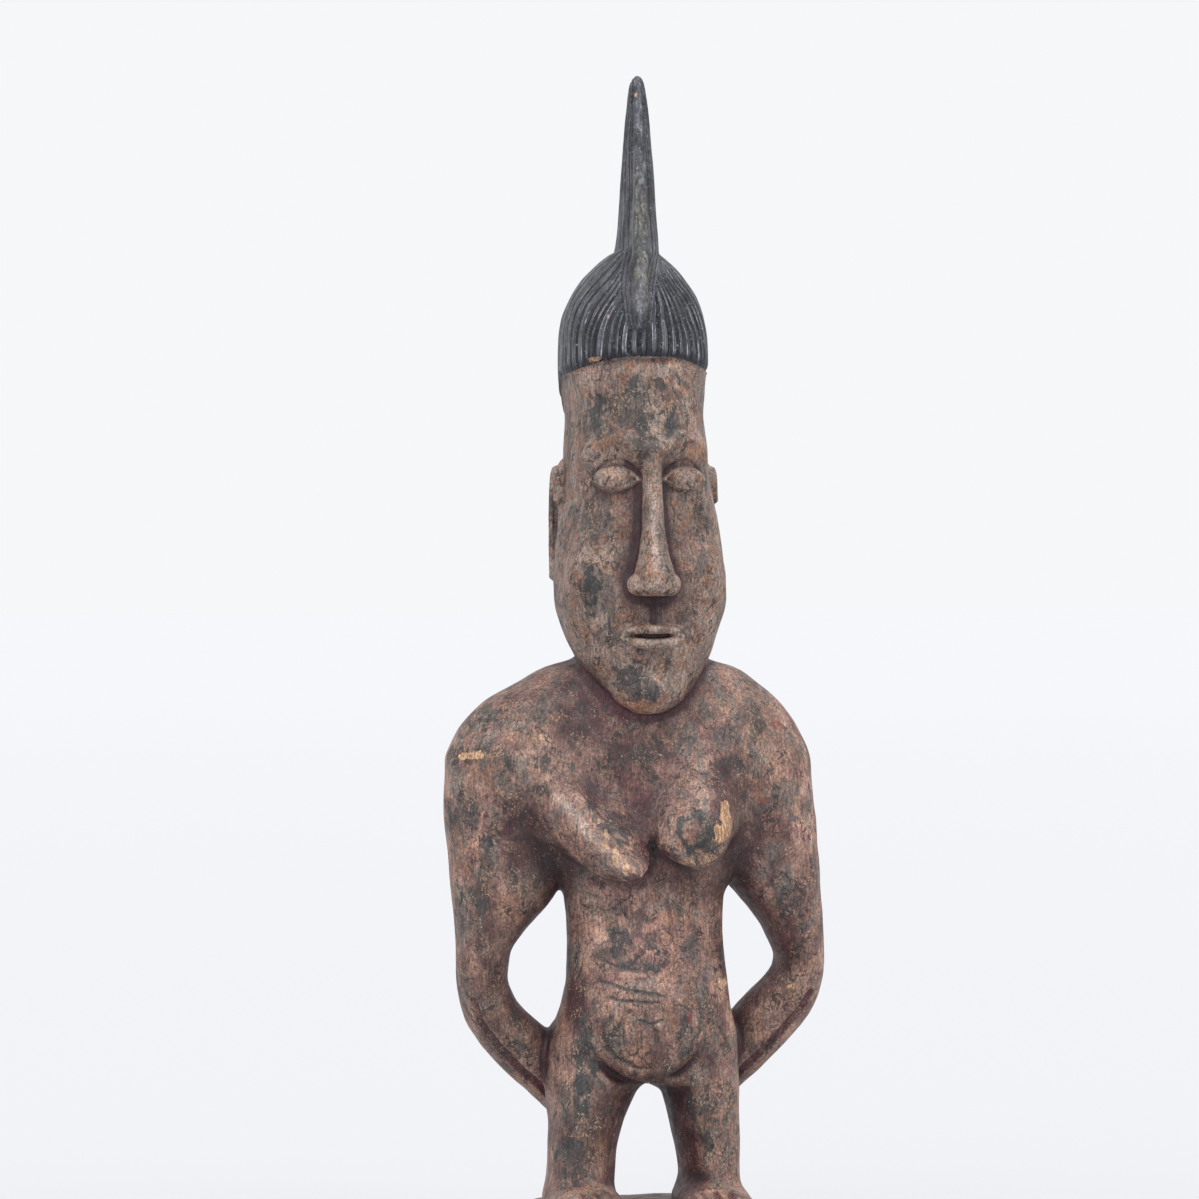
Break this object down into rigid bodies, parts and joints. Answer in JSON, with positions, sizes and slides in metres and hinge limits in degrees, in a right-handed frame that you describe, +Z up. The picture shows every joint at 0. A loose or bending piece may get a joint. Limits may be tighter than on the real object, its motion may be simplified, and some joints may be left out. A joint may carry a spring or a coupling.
{
  "type": "ibeji figure",
  "caption": "Carved wooden standing female figure with a tall tapering crest of hair, bent arms held to the hips and a low rounded base, all from one block; stands free on a shelf.",
  "frame": {"origin": "centre of the flat underside of the base", "axes": "+Z up along the figure, -Y the way she faces, +X to her left"},
  "size_m": [0.0963, 0.0608, 0.3],
  "materials": {
    "wood": "satin"
  },
  "bodies": {
    "root": {"figure": "wood"}
  },
  "joints": []
}
